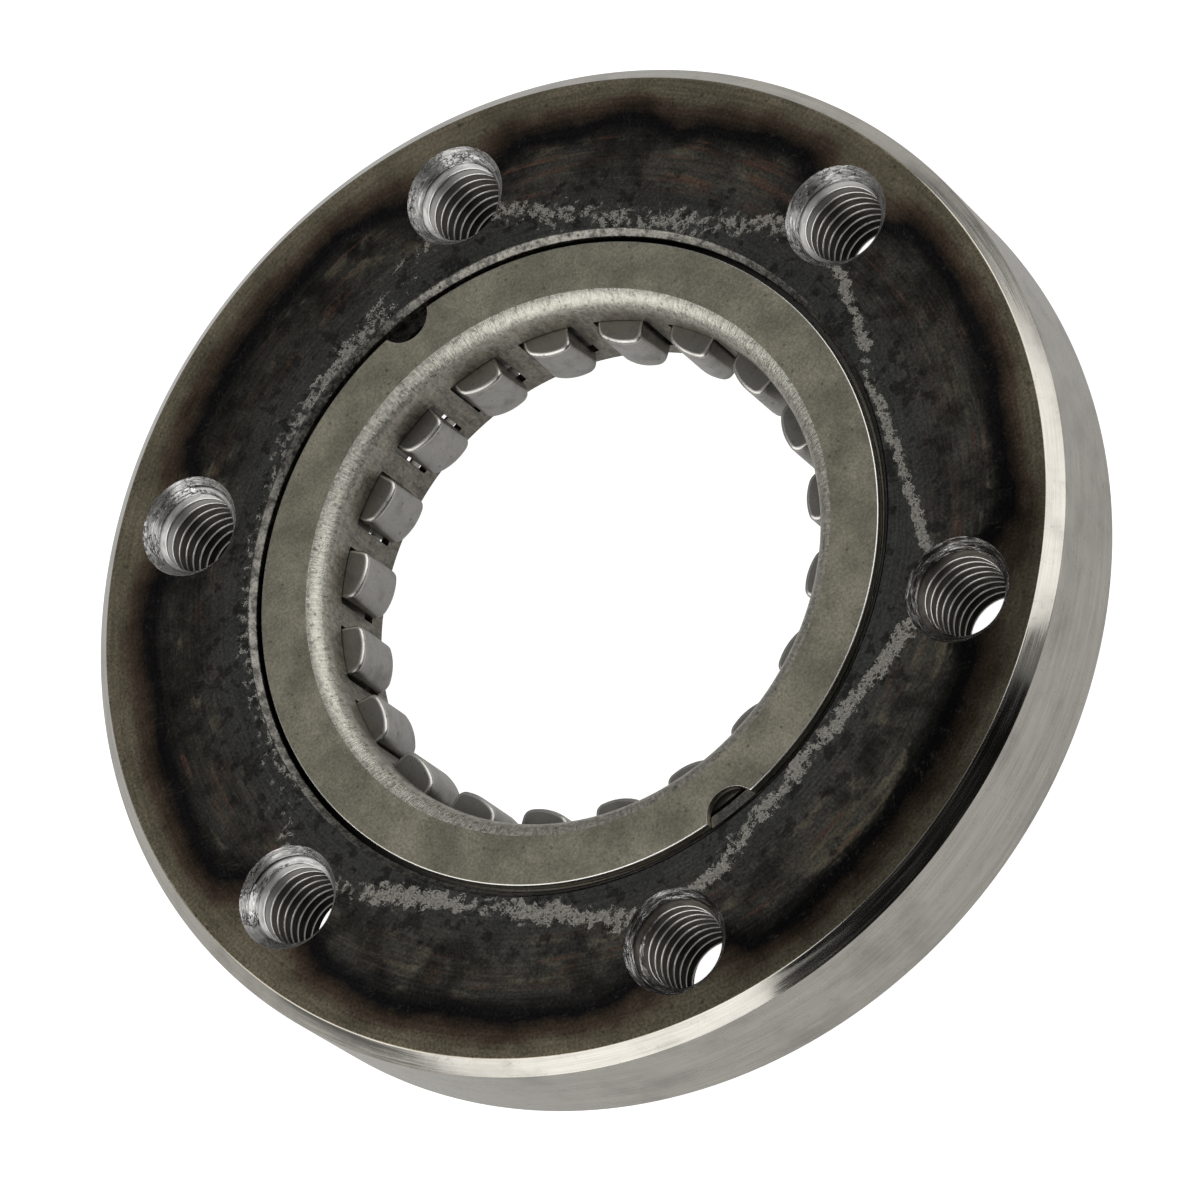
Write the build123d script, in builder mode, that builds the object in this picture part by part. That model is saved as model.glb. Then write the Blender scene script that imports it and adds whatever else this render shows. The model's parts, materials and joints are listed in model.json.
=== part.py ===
"""Flanged sprag clutch: a threaded outer ring, two cages, a ribbon spring and twenty tilting sprags.

The frame is in millimetres. The origin is the centre of the ring's rear face, +Z points out of the front
face, where the cage flange shows, and one bolt hole lies on +X. Everything is at rest, with the sprags
sprung to their free position and no hub in the bore.
"""
from build123d import *

import math
import os

# The hub that the clutch grips, and the radial space that the sprags fill
hub_diameter = 51.5
sprag_space = 8.33

# Sprags
sprag_count = 20
sprag_length = 6.95
sprag_front_depth = 5.1
head_radius = 2.78
race_gap = 0.05
waist_width = 3.5
waist_height = 0.9
groove_height = 2.0
groove_depth = 1.5
tip_width = 5.4
tip_lean = 0.6
tip_cam_radius = 6.0
tip_cam_offset = 1.6
tip_corner = 0.5
free_interference = 0.3

# Inner cage, drawn with its flange from one sheet. The sprag tips stand out of its wall.
cage_sheet = 1.0
tip_stand_out = 2.55
flange_lap = 1.07
flange_sink = 0.5
flange_seat_gap = 0.1
shoulder_radius = 2.2
shoulder_steps = 2
cage_end_gap = 0.5
notch_count = 2
notch_angle = 75.5
notch_radius = 2.9
notch_depth = 2.2

# Outer cage
outer_cage_sheet = 1.0
outer_cage_race_gap = 0.6
outer_cage_end_gap = 0.6

# Windows of the two cages
window_end_gap = 0.1
inner_window_gap = 0.45
outer_window_gap = 0.3
window_cut_margin = 1.0

# Ribbon spring
spring_sheet = 0.25
spring_rise = 0.3
spring_rail = 1.8
spring_counter_gap = 1.15
tongue_waist_gap = 0.55
tongue_length = 1.6
tongue_width = 3.9
tongue_slit = 0.5

# Outer ring, built outwards from the race: counterbore, land with the bolt circle, and rim
ring_thickness = 15.0
flange_play = 0.55
bolt_land = 9.3
rim_land = 10.0
front_chamfer = 1.6
rear_chamfer = 0.5
race_lead_in = 0.8
counterbore_edge = 0.5

# Bolt holes, M10 x 1.5, tapped right through from the front face
bolt_count = 6
thread_diameter = 10.0
thread_pitch = 1.5
thread_mouth_margin = 0.6
thread_mouth_angle = 70.0

# Radii that follow from the sizes above
race_radius = hub_diameter / 2 + sprag_space
pivot_radius = race_radius - race_gap - head_radius
tip_radius = hub_diameter / 2 - free_interference
wall_inner_radius = tip_radius + tip_stand_out
wall_outer_radius = wall_inner_radius + cage_sheet
waist_radius = (wall_outer_radius + pivot_radius) / 2
spring_inner_radius = waist_radius + spring_rise - spring_sheet / 2
spring_outer_radius = spring_inner_radius + spring_sheet
outer_cage_outer_radius = race_radius - outer_cage_race_gap
outer_cage_inner_radius = outer_cage_outer_radius - outer_cage_sheet
flange_radius = race_radius + flange_lap
counterbore_radius = flange_radius + flange_play
bolt_circle_radius = counterbore_radius + bolt_land
ring_radius = bolt_circle_radius + rim_land
tapping_radius = (thread_diameter - thread_pitch) / 2
thread_mouth_radius = thread_diameter / 2 + thread_mouth_margin

# Heights that follow from the sizes above
flange_front = ring_thickness - flange_sink
flange_rear = flange_front - cage_sheet
counterbore_floor = flange_rear - flange_seat_gap
sprag_front = ring_thickness - sprag_front_depth
sprag_rear = sprag_front - sprag_length
sprag_middle = (sprag_front + sprag_rear) / 2
window_height = sprag_length + 2 * window_end_gap
spring_height = window_height + 2 * spring_rail

# A sprag's sides, measured beside the line from the clutch's axis through the sprag's pivot.
# Minus is clockwise, seen from the front. The tip leans clockwise, and so does the centre of its cam,
# so a hub that turns counter-clockwise rolls the sprag upright and wedges it against the race,
# and a hub that turns clockwise tips it back and runs free.
waist_sides = (-tip_lean / 2 - waist_width / 2, -tip_lean / 2 + waist_width / 2)
tip_cam_distance = tip_radius + tip_cam_radius
tip_cam_height = math.sqrt(tip_cam_distance**2 - tip_cam_offset**2)


def radial_plane(angle, radius):
    """Plane across the radius at the angle: x runs counter-clockwise round the clutch, y runs up."""
    turn = math.radians(angle)
    outward = (math.cos(turn), math.sin(turn), 0)
    along = (-math.sin(turn), math.cos(turn), 0)
    return Plane(origin=(0, 0, sprag_middle), x_dir=along, z_dir=outward).offset(radius)


sprag_angles = [360.0 * index / sprag_count for index in range(sprag_count)]

# Outer ring: one turned profile, chamfered at its edges, with tapped holes right through
with BuildPart() as outer_ring:
    with BuildSketch(Plane.XZ):
        with BuildLine():
            Polyline(
                (race_radius, 0),
                (ring_radius, 0),
                (ring_radius, ring_thickness),
                (counterbore_radius, ring_thickness),
                (counterbore_radius, counterbore_floor),
                (race_radius, counterbore_floor),
                close=True,
            )
        make_face()
    revolve(axis=Axis.Z)
    rear_rings = outer_ring.edges().filter_by(GeomType.CIRCLE).group_by(Axis.Z)[0].sort_by(SortBy.RADIUS)
    front_rings = outer_ring.edges().filter_by(GeomType.CIRCLE).group_by(Axis.Z)[-1].sort_by(SortBy.RADIUS)
    chamfer(front_rings[-1], front_chamfer)
    chamfer(front_rings[0], counterbore_edge)
    chamfer(rear_rings[-1], rear_chamfer)
    chamfer(rear_rings[0], race_lead_in)
    with Locations(Plane.XY.offset(ring_thickness)):
        with PolarLocations(bolt_circle_radius, bolt_count):
            CounterSinkHole(
                radius=tapping_radius,
                counter_sink_radius=thread_mouth_radius,
                depth=ring_thickness,
                counter_sink_angle=thread_mouth_angle,
            )
outer_ring.part.label = "outer_ring"

def shoulder_curve(bend_radius):
    """Points of the bend from the flange down to the wall. Straight steps keep the shell light in facets."""
    turns = [math.radians(90.0 * step / shoulder_steps) for step in range(shoulder_steps + 1)]
    return [
        (
            wall_inner_radius + shoulder_radius - bend_radius * math.sin(turn),
            flange_front - shoulder_radius + bend_radius * math.cos(turn),
        )
        for turn in turns
    ]


# Inner cage: flange, rounded shoulder and wall as one drawn shell, then its notches and windows
with BuildPart() as inner_cage:
    with BuildSketch(Plane.XZ):
        with BuildLine():
            Polyline(
                (wall_inner_radius, cage_end_gap),
                (wall_outer_radius, cage_end_gap),
                *reversed(shoulder_curve(shoulder_radius - cage_sheet)),
                (flange_radius, flange_rear),
                (flange_radius, flange_front),
                *shoulder_curve(shoulder_radius),
                close=True,
            )
        make_face()
    revolve(axis=Axis.Z)
    with BuildSketch(Plane.XY.offset(flange_rear)):
        with PolarLocations(flange_radius - notch_depth + notch_radius, notch_count, notch_angle):
            Circle(notch_radius)
    extrude(amount=cage_sheet, mode=Mode.SUBTRACT)
    window_turn = math.degrees(math.atan(-tip_lean / wall_outer_radius))
    for angle in sprag_angles:
        with BuildSketch(radial_plane(angle + window_turn, wall_inner_radius - window_cut_margin)):
            Rectangle(tip_width + 2 * inner_window_gap, window_height)
    extrude(amount=cage_sheet + 2 * window_cut_margin, mode=Mode.SUBTRACT)
inner_cage.part.label = "inner_cage"

# Outer cage: a plain band with a window for the outer head of each sprag
with BuildPart() as outer_cage:
    with BuildSketch(Plane.XY.offset(outer_cage_end_gap)):
        Circle(outer_cage_outer_radius)
        Circle(outer_cage_inner_radius, mode=Mode.SUBTRACT)
    extrude(amount=flange_rear - 2 * outer_cage_end_gap)
    head_half_width = math.sqrt(head_radius**2 - (outer_cage_inner_radius - pivot_radius) ** 2)
    for angle in sprag_angles:
        with BuildSketch(radial_plane(angle, outer_cage_inner_radius - window_cut_margin)):
            Rectangle(2 * (head_half_width + outer_window_gap), window_height)
    extrude(amount=outer_cage_sheet + 2 * window_cut_margin, mode=Mode.SUBTRACT)
outer_cage.part.label = "outer_cage"

# Ribbon spring: a thin strip round the waists. Each of its windows keeps a tongue, at the front end of the
# clockwise side, that presses on the sprag.
with BuildPart() as ribbon_spring:
    with BuildSketch(Plane.XY.offset(sprag_middle - spring_height / 2)):
        Circle(spring_outer_radius)
        Circle(spring_inner_radius, mode=Mode.SUBTRACT)
    extrude(amount=spring_height)
    tongue_tip = waist_sides[0] - tongue_waist_gap
    window_start = tongue_tip - tongue_length
    window_end = waist_sides[1] + spring_counter_gap
    tongue_top = window_height / 2 - tongue_slit
    for angle in sprag_angles:
        with BuildSketch(radial_plane(angle, spring_inner_radius - window_cut_margin)):
            with BuildLine():
                Polyline(
                    (window_start, -window_height / 2),
                    (window_end, -window_height / 2),
                    (window_end, window_height / 2),
                    (window_start, window_height / 2),
                    (window_start, tongue_top),
                    (tongue_tip, tongue_top),
                    (tongue_tip, tongue_top - tongue_width),
                    (window_start, tongue_top - tongue_width),
                    close=True,
                )
            make_face()
    extrude(amount=spring_sheet + 2 * window_cut_margin, mode=Mode.SUBTRACT)
ribbon_spring.part.label = "ribbon_spring"


def make_sprag(angle):
    """One sprag: a round outer head about the pivot, a waist for the spring, and a cam-shaped tip."""
    with BuildPart() as sprag:
        with BuildSketch(Plane.XY.offset(sprag_rear).rotated((0, 0, angle))) as profile:
            with Locations((tip_cam_height, -tip_cam_offset)):
                Circle(tip_cam_radius)
            with Locations((waist_radius, -tip_lean)):
                Rectangle(waist_radius, tip_width, align=(Align.MAX, Align.CENTER), mode=Mode.INTERSECT)
            chamfer(profile.vertices().sort_by(Axis.X)[:2], tip_corner)
            with Locations((pivot_radius, 0)):
                Circle(head_radius)
            for side in waist_sides:
                groove_mouth = side + math.copysign(groove_depth, side)
                with BuildLine():
                    Polyline(
                        (waist_radius - waist_height / 2, side),
                        (waist_radius + waist_height / 2, side),
                        (waist_radius + groove_height / 2, groove_mouth),
                        (waist_radius - groove_height / 2, groove_mouth),
                        close=True,
                    )
                make_face(mode=Mode.SUBTRACT)
        extrude(amount=sprag_length)
    return sprag


sprags = [make_sprag(angle) for angle in sprag_angles]
for number, sprag in enumerate(sprags, start=1):
    sprag.part.label = f"sprag_{number:02d}"

os.makedirs("parts", exist_ok=True)
for piece in [outer_ring, inner_cage, outer_cage, ribbon_spring, *sprags]:
    export_step(piece.part, f"parts/{piece.part.label}.step")
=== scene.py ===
"""Looks of a flanged sprag clutch: a tapped outer ring, a drawn inner cage, twenty sprags, an outer cage and a
ribbon spring.

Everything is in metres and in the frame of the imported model: the origin is the centre of the ring's rear face,
+Z points out of the front face, and one bolt hole lies on +X. Patterns are laid out in millimetres.
"""

import json
import math

import bmesh
import bpy
from bpy.props import FloatProperty, FloatVectorProperty, IntProperty, PointerProperty
from mathutils import Matrix, Vector


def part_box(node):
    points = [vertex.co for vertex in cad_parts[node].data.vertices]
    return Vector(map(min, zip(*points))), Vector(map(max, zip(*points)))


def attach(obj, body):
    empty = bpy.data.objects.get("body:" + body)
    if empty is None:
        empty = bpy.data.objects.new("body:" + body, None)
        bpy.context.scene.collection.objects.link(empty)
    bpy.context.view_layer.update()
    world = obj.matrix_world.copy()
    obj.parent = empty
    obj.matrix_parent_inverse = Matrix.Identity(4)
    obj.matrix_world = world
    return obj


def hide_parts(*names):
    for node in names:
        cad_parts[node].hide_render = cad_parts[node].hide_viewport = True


bl_info = {
    "name": "Sprag Clutch Looks",
    "version": (1, 0, 0),
    "blender": (4, 5, 0),
    "location": "3D View > Sidebar > Sprag Clutch",
    "description": "Models the visible steel pieces of a sprag clutch on its frame and gives them their finish",
    "category": "Object",
}

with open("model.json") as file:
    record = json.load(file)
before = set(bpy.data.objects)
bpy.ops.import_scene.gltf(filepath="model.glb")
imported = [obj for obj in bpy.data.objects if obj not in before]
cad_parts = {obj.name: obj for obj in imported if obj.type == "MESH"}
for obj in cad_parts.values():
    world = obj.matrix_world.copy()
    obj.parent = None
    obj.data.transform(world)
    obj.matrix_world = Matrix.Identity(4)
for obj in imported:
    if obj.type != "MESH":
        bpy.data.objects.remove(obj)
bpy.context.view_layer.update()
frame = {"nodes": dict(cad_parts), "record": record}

MM = 0.001
# Points nearer than this are one point
MERGE = 0.0005 * MM
# Points nearer than this to a turned corner belong to it
ON_CORNER = 0.002 * MM
# How far a cutter stands clear of what it cuts
CLEAR = 1.0 * MM
# A face is level when its normal has at least this part along Z
LEVEL = 0.99

RING_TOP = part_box("outer_ring")[1]
CAGE_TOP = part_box("inner_cage")[1]
CAGE_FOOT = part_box("inner_cage")[0]
BOLT_MOUNT = next(mount for mount in frame["record"]["mounts"] if mount["name"] == "bolt_holes")
BOLT_COUNT = BOLT_MOUNT["dims"]["count"]
BOLT_CIRCLE = BOLT_MOUNT["dims"]["pcd_mm"] * MM / 2
BOLT_CORE = BOLT_MOUNT["dims"]["hole_r_mm"] * MM
SPRAG_NODES = sorted(name for name in frame["nodes"] if name.startswith("sprag_"))
# From the sprags' tips to the wall that they stand out of, in millimetres from the axis
WINDOW_REACH = (25.6, 28.2)

# Where the values of a noise lie: nearly all of them, most, and the middle ones
ALL = (0.2, 0.8)
MOST = (0.25, 0.75)
MIDDLE = (0.3, 0.7)
# Where the Mix node has its sockets for colours
MIX_SHARE, MIX_FIRST, MIX_SECOND, MIX_RESULT = 0, 6, 7, 2


def millimetres(name, description, default):
    """A length, given in millimetres."""
    return FloatProperty(name=name, description=description, default=default * MM, unit="LENGTH")


def degrees(name, description, default=0.0):
    """An angle, given in degrees."""
    return FloatProperty(name=name, description=description, default=math.radians(default), subtype="ANGLE")


def metres(name, description, default):
    """A length in metres."""
    return FloatProperty(name=name, description=description, default=default, unit="LENGTH")


def brightness(name, description, default):
    """How brightly a thing shines."""
    return FloatProperty(name=name, description=description, default=default, min=0.0)


def facets(name, description, default, least=48):
    """A number of facets."""
    return IntProperty(name=name, description=description, default=default, min=least)


def portion(name, description, default, least, most):
    """A part of a whole, between two limits."""
    return FloatProperty(name=name, description=description, default=default, min=least, max=most)


def metal_colour(name, description, default):
    """A colour that the steel reflects."""
    return FloatVectorProperty(
        name=name, description=description, default=default, subtype="COLOR", size=3, min=0.0, max=1.0
    )


class RingSizes(bpy.types.PropertyGroup):
    """The outer ring's section, where the frame's box doesn't give it."""

    race_radius: millimetres("Race radius", "Radius that the sprags wedge against", 34.08)
    race_lead_in: millimetres("Race lead-in", "Chamfer at the rear end of the race", 0.8)
    counterbore_radius: millimetres("Counterbore radius", "Radius round the cage flange", 35.7)
    counterbore_depth: millimetres("Counterbore depth", "From the front face down to the seat", 1.6)
    counterbore_edge: millimetres("Counterbore edge", "Chamfer at the counterbore's mouth", 0.65)
    front_chamfer: millimetres("Front chamfer", "Chamfer round the front face", 1.6)
    rear_chamfer: millimetres("Rear chamfer", "Chamfer round the rear face", 0.5)
    rim_rounding: millimetres("Rim rounding", "Rounding of every turned corner", 0.12)
    turning_steps: facets("Turning steps", "Facets round the ring", 256)


class ThreadSizes(bpy.types.PropertyGroup):
    """The six tapped holes."""

    outer_radius: millimetres("Thread radius", "Radius at the thread's valleys", 5.0)
    pitch: millimetres("Pitch", "Height of one turn of the thread", 1.5)
    valley_share: portion(
        "Valley share", "Flat at the valley, as a share of the pitch", 0.125, least=0.02, most=0.3
    )
    crest_share: portion(
        "Crest share", "Flat at the crest, as a share of the pitch", 0.13, least=0.05, most=0.4
    )
    mouth_radius: millimetres("Mouth radius", "Radius of the conical mouth at the face", 5.6)
    mouth_angle: degrees("Mouth angle", "Whole angle of the conical mouth", 70)
    exit_radius: millimetres("Exit radius", "Radius of the cone at the rear face", 4.3)
    edge_break: millimetres("Edge break", "Width of the dulled edge at the mouth", 0.12)
    steps_per_turn: facets("Steps per turn", "Facets of one turn", 48, least=12)


class CageSizes(bpy.types.PropertyGroup):
    """The drawn inner cage."""

    wall_radius: millimetres("Wall radius", "Inner radius of the thin wall", 28.0)
    sheet: millimetres("Sheet", "Thickness of the sheet", 1.0)
    shoulder: millimetres("Shoulder", "Radius of the rounded shoulder", 2.4)
    flat_cut: millimetres("Flat cut", "How deep the ground flange cuts into the shoulder", 0.06)
    under_bend: millimetres("Under bend", "Radius of the bend on the hidden side", 1.2)
    edge_rounding: millimetres("Edge rounding", "Rounding of the cut edges", 0.15)
    rim_rounding: millimetres("Rim rounding", "Rounding of the flange's outer edge", 0.2)
    notch_radius: millimetres("Notch radius", "Radius of the half-round notches", 2.9)
    notch_depth: millimetres("Notch depth", "From the flange's rim to the notch's bottom", 2.2)
    notch_angle: degrees("Notch angle", "Direction of the first notch", 75.5)
    notch_count: IntProperty(name="Notches", description="Number of notches", default=2, min=1)
    window_width: millimetres("Window width", "Width of a window round the wall", 6.3)
    window_height: millimetres("Window height", "Height of a window along the axis", 7.15)
    window_corner: millimetres("Window corner", "Radius in a window's corners", 0.25)
    window_lean: millimetres("Window lean", "How far the windows lie clockwise", 0.6)
    turning_steps: facets("Turning steps", "Facets round the cage", 240)


class SpragSizes(bpy.types.PropertyGroup):
    """The sprags."""

    end_rounding: millimetres("End rounding", "Rounding round the two flat ends", 0.44)
    corner_rounding: millimetres("Corner rounding", "Rounding of the tip's two long corners", 0.5)
    tip_reach: millimetres("Tip reach", "Distance from the axis up to which a sprag shows in its window", 29.2)


class FinishColours(bpy.types.PropertyGroup):
    """Colours of the steel surfaces."""

    bare_rim: metal_colour("Bare rim", "Front face near its outer edge", (0.35, 0.305, 0.215))
    heat_brown: metal_colour("Heat brown", "Straw-brown tint outside the heat line", (0.145, 0.106, 0.076))
    heat_black: metal_colour("Heat black", "The heat line itself", (0.018, 0.0165, 0.0175))
    charcoal: metal_colour("Charcoal", "Scale on the hardened face", (0.083, 0.076, 0.064))
    blued: metal_colour("Blued", "Scale near the counterbore", (0.084, 0.085, 0.08))
    olive: metal_colour("Olive", "Greenish tint in the scale", (0.19, 0.17, 0.12))
    rust: metal_colour("Rust", "Reddish streaks in the scale", (0.16, 0.085, 0.062))
    worn: metal_colour("Worn", "Patches where the scale has gone", (0.46, 0.44, 0.39))
    machined: metal_colour("Machined", "Outer rim and chamfers", (0.54, 0.515, 0.465))
    rubbed: metal_colour("Rubbed", "Bright rim of the flange", (0.88, 0.87, 0.84))
    cut_steel: metal_colour("Fresh cut", "Mouths of the holes and crests of the threads", (0.62, 0.61, 0.59))
    valley: metal_colour("Thread valley", "Dirt and shade in the threads", (0.03, 0.028, 0.026))
    race: metal_colour("Race", "Ground race and rear face", (0.5, 0.48, 0.44))
    flange: metal_colour("Flange", "Flat of the inner cage", (0.46, 0.43, 0.335))
    # Brighter than the wall: the shoulder's colour is partly a painted sheen
    shoulder: metal_colour("Shoulder", "Rounded shoulder of the inner cage", (0.58, 0.56, 0.49))
    drawn: metal_colour("Drawn sheet", "Wall of the inner cage", (0.44, 0.41, 0.345))
    # Also the colour of painted shade further down the cage wall and in the holes on the darker side
    grime_and_shade: metal_colour("Grime", "Dark specks and oil in the corners", (0.05, 0.045, 0.038))
    sprag_cam: metal_colour("Sprag cam", "Faces of the sprags that roll on the hub", (0.38, 0.366, 0.342))
    sprag_end: metal_colour("Sprag end", "Flat ends of the sprags", (0.29, 0.278, 0.256))
    # Partly tumbled edges and partly a painted highlight: the rounded edges are painted brighter than the cam
    sprag_edge: metal_colour("Sprag edge", "Tumbled edges of the sprags", (0.55, 0.535, 0.5))
    spring: metal_colour("Spring", "Ribbon spring", (0.68, 0.66, 0.6))


class HeatPattern(bpy.types.PropertyGroup):
    """Where hardening and wear have marked the front face."""

    line_radius: millimetres("Heat line", "Middle radius of the dark line", 48.4)
    sway: millimetres("Sway", "How much further out the line runs on its far side", 0.6)
    sway_angle: degrees("Sway angle", "Direction of that far side", -80.0)
    hole_reach: millimetres("Reach of a hole", "How far round a hole the line is drawn in", 10.0)
    hole_pull: millimetres("Pull of a hole", "How far the line is drawn in beside a hole", 1.9)
    dip_angle: degrees("Dip angle", "Where the bare rim runs in as a point", 27.5)
    dip_width: degrees("Dip width", "Half the angle of that point", 5.0)
    dip_depth: millimetres("Dip depth", "How far the point runs in", 1.0)
    wear_chord: millimetres(
        "Wear line", "Distance from the axis to the straight lines that the wear follows", 37.5
    )
    wear_width: millimetres("Wear width", "Half the width of the broadest worn line", 3.5)
    # On this side the face is darker and painted shade darkens the holes' mouths and threads; away from it the
    # counterbore's seat is painted black as shade
    darker_side: degrees("Dirty side", "Direction in which the face is darker and the holes are oily", -80.0)
    sooty_side: degrees("Sooty side", "Direction in which the scale is darkest", 110.0)


class StudioLight(bpy.types.PropertyGroup):
    """The floor, the room and how far the soft boxes hang."""

    floor_size: metres("Floor size", "Side of the paper", 6.0)
    floor_drop: millimetres("Floor drop", "Gap under the ring", 0.02)
    floor_glow: brightness("Floor glow", "Light from the paper", 0.3)
    room_glow: brightness("Room glow", "Light from the room's walls", 0.235)
    box_distance: metres("Box distance", "From the clutch to the soft boxes", 1.0)
    card_distance: metres("Card distance", "From the clutch to the dark card", 2.5)


class SoftBox(bpy.types.PropertyGroup):
    """One soft box or the dark card, by its direction from the clutch."""

    azimuth: degrees("Azimuth", "Counter-clockwise from +X")
    elevation: degrees("Elevation", "Above the floor")
    width: degrees("Width", "Angle that it covers sideways")
    height: degrees("Height", "Angle that it covers upwards")
    glow: brightness("Glow", "How bright it looks", 2.5)


# Azimuth, elevation, width and height in degrees, and the glow
SOFT_BOXES = {
    "clutch_right_box": (-10, 37, 69, 51, 1.42),
    "clutch_left_box": (-172, 38, 84, 56, 1.5),
    "clutch_dark_card": (-92, 30, 62, 48, 0.0),
}


class CameraPlace(bpy.types.PropertyGroup):
    """Where the photograph was taken from."""

    target: FloatVectorProperty(
        name="Target",
        description="Point at the middle of the picture",
        default=(-0.892 * MM, -6.972 * MM, 15.0 * MM),
        unit="LENGTH",
    )
    distance: millimetres("Distance", "From the camera to the target", 656.99)
    azimuth: degrees("Azimuth", "Turn of the camera round the clutch", 1.648)
    elevation: degrees("Elevation", "Height above the horizon", 57.832)
    roll: degrees("Roll", "Turn of the picture, clockwise", 52.593)
    lens: FloatProperty(
        name="Lens", description="Focal length in millimetres on a 36 mm sensor", default=192.67
    )


# Modelling


def deselect_all():
    """Leaves edit mode and deselects every object."""
    if bpy.context.object and bpy.context.object.mode != "OBJECT":
        bpy.ops.object.mode_set(mode="OBJECT")
    bpy.ops.object.select_all(action="DESELECT")


def make_active(piece):
    """Selects one object alone and makes it the active one."""
    deselect_all()
    piece.select_set(True)
    bpy.context.view_layer.objects.active = piece


def apply_place():
    """Puts the active object's place, turn and scale into its mesh."""
    bpy.ops.object.transform_apply(location=True, rotation=True, scale=True)


def name_active(name):
    """Names the object that was just added, with its mesh, and puts its place into the mesh."""
    piece = bpy.context.object
    piece.name = name
    piece.data.name = name
    apply_place()
    return piece


def edit(piece, element="VERT"):
    """Opens the piece in edit mode, to work on its vertices or edges, with everything selected."""
    make_active(piece)
    bpy.ops.object.mode_set(mode="EDIT")
    bpy.ops.mesh.select_mode(type=element)
    bpy.ops.mesh.select_all(action="SELECT")


def select_in_edit_mode(piece, chosen, element="verts"):
    """Selects the vertices, edges or faces that the test chooses, in edit mode."""
    mesh = bmesh.from_edit_mesh(piece.data)
    bpy.ops.mesh.select_all(action="DESELECT")
    for part in getattr(mesh, element):
        if chosen(part):
            part.select_set(True)
    mesh.select_flush_mode()
    bmesh.update_edit_mesh(piece.data)


def finish_edit():
    """Merges doubles, turns the faces outwards and leaves edit mode."""
    bpy.ops.mesh.select_all(action="SELECT")
    bpy.ops.mesh.remove_doubles(threshold=MERGE)
    bpy.ops.mesh.normals_make_consistent(inside=False)
    bpy.ops.object.mode_set(mode="OBJECT")


def turned_piece(name, corners, steps):
    """A piece turned about Z: each corner of its section, (radius, height), is a ring drawn out of the last."""
    deselect_all()
    bpy.ops.mesh.primitive_circle_add(vertices=steps, radius=corners[0][0], location=(0, 0, corners[0][1]))
    piece = name_active(name)
    edit(piece)
    for (radius, height), (next_radius, next_height) in zip(corners, corners[1:] + corners[:1]):
        bpy.ops.mesh.extrude_edges_move(TRANSFORM_OT_translate={"value": (0, 0, next_height - height)})
        growth = next_radius / radius
        bpy.ops.transform.resize(value=(growth, growth, 1), center_override=(0, 0, 0))
    finish_edit()
    return piece


def on_corner(radius, height):
    """A test for vertices that lie on the ring at the radius and height."""
    def test(vertex):
        from_axis = math.hypot(vertex.co.x, vertex.co.y)
        return abs(from_axis - radius) < ON_CORNER and abs(vertex.co.z - height) < ON_CORNER
    return test


def round_corner(piece, radius, height, rounding, segments):
    """Rounds the turned corner at the radius and height."""
    edit(piece)
    select_in_edit_mode(piece, on_corner(radius, height))
    bpy.ops.mesh.bevel(offset=rounding, segments=segments, affect="EDGES")
    bpy.ops.object.mode_set(mode="OBJECT")


def drawn_line(name, points):
    """A chain of edges, drawn by pulling one vertex from point to point."""
    deselect_all()
    bpy.ops.mesh.primitive_plane_add(size=MM, location=points[0])
    line = name_active(name)
    edit(line)
    bpy.ops.mesh.merge(type="CENTER")
    for point, next_point in zip(points, points[1:]):
        step = Vector(next_point) - Vector(point)
        bpy.ops.mesh.extrude_vertices_move(TRANSFORM_OT_translate={"value": step})
    bpy.ops.object.mode_set(mode="OBJECT")
    return line


def apply_modifier(piece, kind, **settings):
    """Adds a modifier with the settings and applies it."""
    make_active(piece)
    modifier = piece.modifiers.new(kind.lower(), kind)
    for name, value in settings.items():
        setattr(modifier, name, value)
    bpy.ops.object.modifier_apply(modifier=modifier.name)


def cut_away(piece, cutter):
    """Cuts the cutter's shape out of the piece and removes the cutter."""
    apply_modifier(piece, "BOOLEAN", object=cutter, operation="DIFFERENCE", solver="EXACT")
    bpy.data.meshes.remove(cutter.data)


def own_copy(piece, name):
    """A copy of the object with its own mesh."""
    copy = piece.copy()
    copy.data = piece.data.copy()
    copy.name = name
    bpy.context.collection.objects.link(copy)
    return copy


def turned_copy(piece, name, angle):
    """A copy with its own mesh, turned about Z."""
    copy = own_copy(piece, name)
    copy.data.name = name
    make_active(copy)
    copy.rotation_euler.z += angle
    apply_place()
    return copy


def joined_round(piece, count):
    """The piece and its copies, set evenly round Z and joined to one object."""
    copies = [
        turned_copy(piece, f"{piece.name}_{number}", math.tau * number / count) for number in range(1, count)
    ]
    make_active(piece)
    for copy in copies:
        copy.select_set(True)
    bpy.ops.object.join()
    return piece


def smooth(piece, widest, crease=None):
    """Smooth shading across edges up to the angle in degrees. A crease, (radius, height), stays crisp."""
    make_active(piece)
    bpy.ops.object.shade_smooth_by_angle(angle=math.radians(widest))
    if crease:
        edit(piece)
        select_in_edit_mode(piece, on_corner(*crease))
        bpy.ops.mesh.mark_sharp()
        bpy.ops.object.mode_set(mode="OBJECT")
    apply_modifier(piece, "WEIGHTED_NORMAL", keep_sharp=True)


def give_slots(piece, finishes, zone):
    """Gives the piece its materials, by name, and each face the one that zone names for it."""
    piece.data.materials.clear()
    for material in finishes.values():
        piece.data.materials.append(material)
    names = list(finishes)
    for face in piece.data.polygons:
        face.material_index = names.index(zone(face))


# Patterns


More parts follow.
